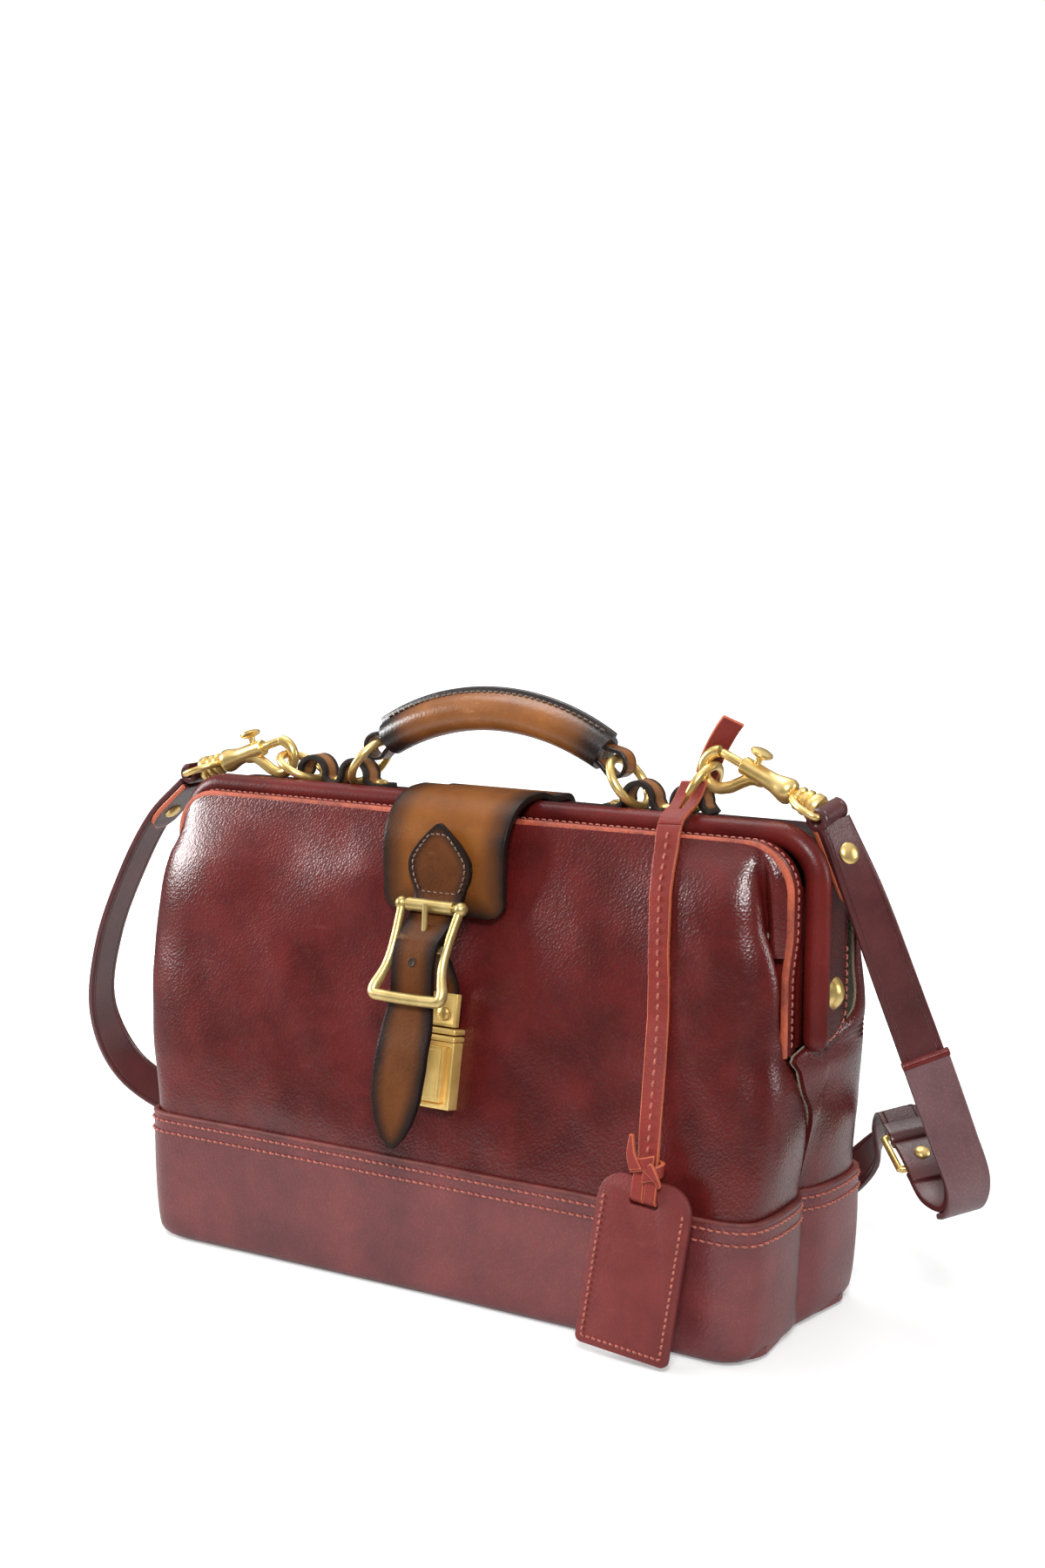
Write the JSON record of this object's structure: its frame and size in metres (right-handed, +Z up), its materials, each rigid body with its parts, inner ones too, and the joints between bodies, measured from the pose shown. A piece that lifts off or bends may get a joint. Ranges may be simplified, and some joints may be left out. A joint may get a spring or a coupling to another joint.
{
  "type": "doctor bag",
  "caption": "Leather doctor bag with a hinged frame mouth, buckled flap with a lock, arched top handle and a clip-on shoulder strap.",
  "frame": {"origin": "on the floor under the middle of the base panel", "axes": "+X to the bag's right seen from the front, +Y to the back, +Z up"},
  "size_m": [0.491, 0.164, 0.27],
  "materials": {
    "maroon_leather": "polished pebbled oxblood leather",
    "raw_edge_leather": "raw-edged stitched leather",
    "cognac_leather": "cognac leather with dark burnished edges",
    "dark_leather": "dark brown leather",
    "strap_leather": "smooth dark burgundy leather",
    "lining_cloth": "plain twill",
    "base_board": "pressed fibre board",
    "cord_core": "laid cord",
    "steel": "zinc-plated strip",
    "brass": "antique brushed brass"
  },
  "bodies": {
    "bag": {"base_panel": "maroon_leather", "base_board": "base_board", "base_band": "maroon_leather", "front_panel": "maroon_leather", "back_panel": "maroon_leather", "lining": "lining_cloth", "back_frame": "steel", "back_frame_cover": "maroon_leather", "frame_roll": "maroon_leather", "hinge_pins": "brass", "left_ring_strap": "dark_leather", "right_ring_strap": "dark_leather", "ring_strap_screws": "brass", "flap_crown": "cognac_leather", "lock_box": "brass", "lock_rivets": "brass", "shoulder_strap_long": "strap_leather", "shoulder_strap_short": "strap_leather", "strap_rivets": "brass", "strap_buckle": "brass", "tag_strap": "maroon_leather", "tag_plate": "maroon_leather"},
    "front_jaw": {"front_frame": "steel", "front_binding": "raw_edge_leather", "front_panel_top": "maroon_leather"},
    "flap": {"flap_front": "cognac_leather", "closure_strap": "cognac_leather", "buckle_frame": "brass", "buckle_leg": "cognac_leather", "clasp_clip": "brass", "clip_rivet": "brass"},
    "roller": {"buckle_roller": "brass"},
    "prong": {"buckle_prong": "brass"},
    "lock_plate": {"lock_press_plate": "brass"},
    "handle": {"handle_rings": "brass", "handle_core": "cord_core", "handle_grip": "cognac_leather", "handle_loops": "cognac_leather"},
    "right_hook": {"right_strap_ring": "brass", "right_hook_body": "brass"},
    "right_bolt": {"right_hook_bolt": "brass"},
    "right_eye": {"right_hook_eye": "brass"},
    "left_hook": {"left_strap_ring": "brass", "left_hook_body": "brass"},
    "left_bolt": {"left_hook_bolt": "brass"},
    "left_eye": {"left_hook_eye": "brass"}
  },
  "joints": [
    {"name": "front_jaw_open", "type": "hinge", "parent": "bag", "child": "front_jaw", "pos_m": [0, 0.004, 0.149], "axis": [1, 0, 0], "range_deg": [0, 50], "deforming": ["front_panel_top", "tag_strap"]},
    {"name": "flap_lift", "type": "hinge", "parent": "bag", "child": "flap", "pos_m": [0, -0.01315, 0.2253], "axis": [-1, 0, 0], "range_deg": [0, 100]},
    {"name": "handle_tilt", "type": "hinge", "parent": "bag", "child": "handle", "pos_m": [0, 0.004, 0.236], "axis": [1, 0, 0], "range_deg": [-22, 22]},
    {"name": "roller_spin", "type": "hinge", "parent": "flap", "child": "roller", "pos_m": [0, -0.0475, 0.177], "axis": [1, 0, 0], "continuous": true},
    {"name": "prong_swing", "type": "hinge", "parent": "flap", "child": "prong", "pos_m": [0, -0.0534, 0.1594], "axis": [1, 0, 0], "range_deg": [0, 50]},
    {"name": "lock_press", "type": "slide", "parent": "bag", "child": "lock_plate", "axis": [0, 0.9824, -0.1866], "range_m": [0, 0.0015], "stiffness_N_per_m": 400, "springref_m": -0.001},
    {"name": "right_ring_swing", "type": "hinge", "parent": "bag", "child": "right_hook", "pos_m": [0.102, 0.004, 0.2215], "axis": [0, -1, 0], "range_deg": [0, 25], "deforming": ["shoulder_strap_short", "tag_strap"]},
    {"name": "right_bolt_slide", "type": "slide", "parent": "right_hook", "child": "right_bolt", "axis": [0.9063, 0, -0.4226], "range_m": [0, 0.008], "stiffness_N_per_m": 150, "springref_m": -0.002},
    {"name": "right_eye_swivel", "type": "hinge", "parent": "right_hook", "child": "right_eye", "pos_m": [0.11854, 0.004, 0.24659], "axis": [0.9063, 0, -0.4226], "range_deg": [-30, 30], "deforming": ["shoulder_strap_short"]},
    {"name": "left_ring_swing", "type": "hinge", "parent": "bag", "child": "left_hook", "pos_m": [-0.102, 0.004, 0.2215], "axis": [0, 1, 0], "range_deg": [0, 25], "deforming": ["shoulder_strap_long"]},
    {"name": "left_bolt_slide", "type": "slide", "parent": "left_hook", "child": "left_bolt", "axis": [-0.9397, 0, -0.342], "range_m": [0, 0.008], "stiffness_N_per_m": 150, "springref_m": -0.002},
    {"name": "left_eye_swivel", "type": "hinge", "parent": "left_hook", "child": "left_eye", "pos_m": [-0.12772, 0.004, 0.23736], "axis": [-0.9397, 0, -0.342], "range_deg": [-30, 30], "deforming": ["shoulder_strap_long"]}
  ],
  "couplings": [
    {"joint": "flap_lift", "follows": "front_jaw_open", "ratio": 2}
  ]
}
